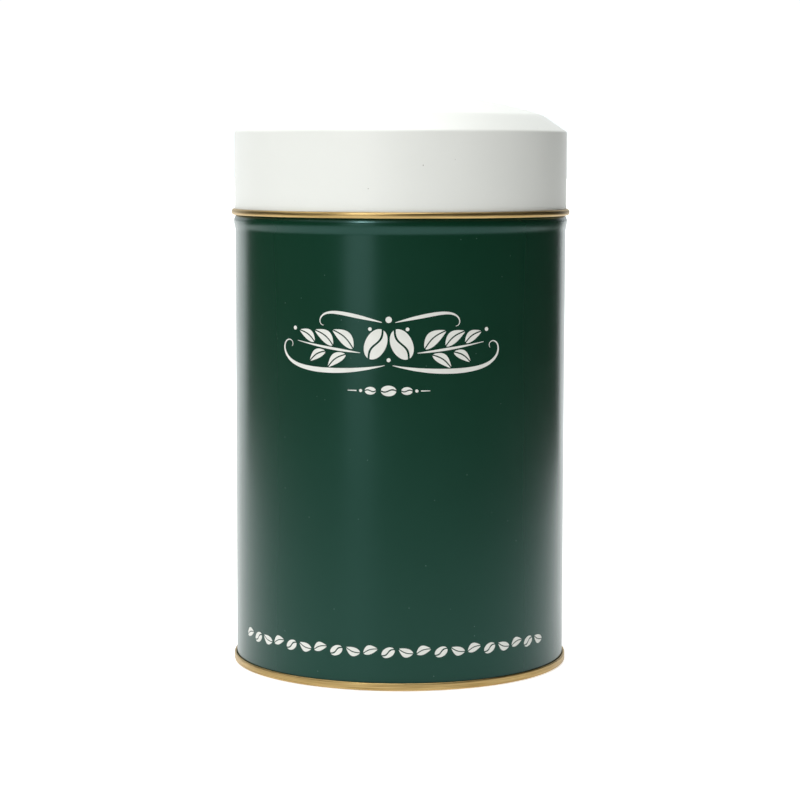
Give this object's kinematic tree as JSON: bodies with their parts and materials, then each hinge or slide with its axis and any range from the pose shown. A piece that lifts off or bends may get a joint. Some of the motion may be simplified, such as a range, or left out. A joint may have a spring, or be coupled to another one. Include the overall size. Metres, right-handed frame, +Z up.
{
  "type": "coffee tin",
  "caption": "Round tinplate canister with a double-seamed base, a domed slip lid with a curled rim, and an inner plug lid with a knob, for dry goods.",
  "frame": {"origin": "centre of the tin's base, on the plane that it stands on", "axes": "+Z up along the tin's axis, towards the lid; -Y towards the front of the decoration; +Y towards the side seam"},
  "size_m": [0.1014, 0.1014, 0.1705],
  "materials": {
    "green_lacquer": "dark green satin lithographed lacquer on tinplate, gold lacquer inside",
    "gold_lacquered_base": "transparent gold lacquer on bright tinplate",
    "sealing_compound": "matt cured rubber compound",
    "white_lacquer": "off-white satin lacquer on tinplate, gold lacquer inside and on the curled rim",
    "gold_lacquered_plug": "transparent gold lacquer on bright tinplate",
    "turned_brass": "fine-turned, clear-lacquered",
    "zinc_plated_steel": "bright zinc plate"
  },
  "bodies": {
    "can": {"body_shell": "green_lacquer", "bottom_end": "gold_lacquered_base", "bottom_seam_gasket": "sealing_compound"},
    "inner_lid": {"inner_lid_panel": "gold_lacquered_plug", "inner_lid_knob": "turned_brass", "inner_lid_screw": "zinc_plated_steel"},
    "outer_lid": {"lid_shell": "white_lacquer"}
  },
  "joints": [
    {"name": "inner_lid_lift", "type": "slide", "parent": "can", "child": "inner_lid", "axis": [0, 0, 1], "range_m": [0, 0.04]},
    {"name": "outer_lid_lift", "type": "slide", "parent": "inner_lid", "child": "outer_lid", "axis": [0, 0, 1], "range_m": [0, 0.08]}
  ]
}
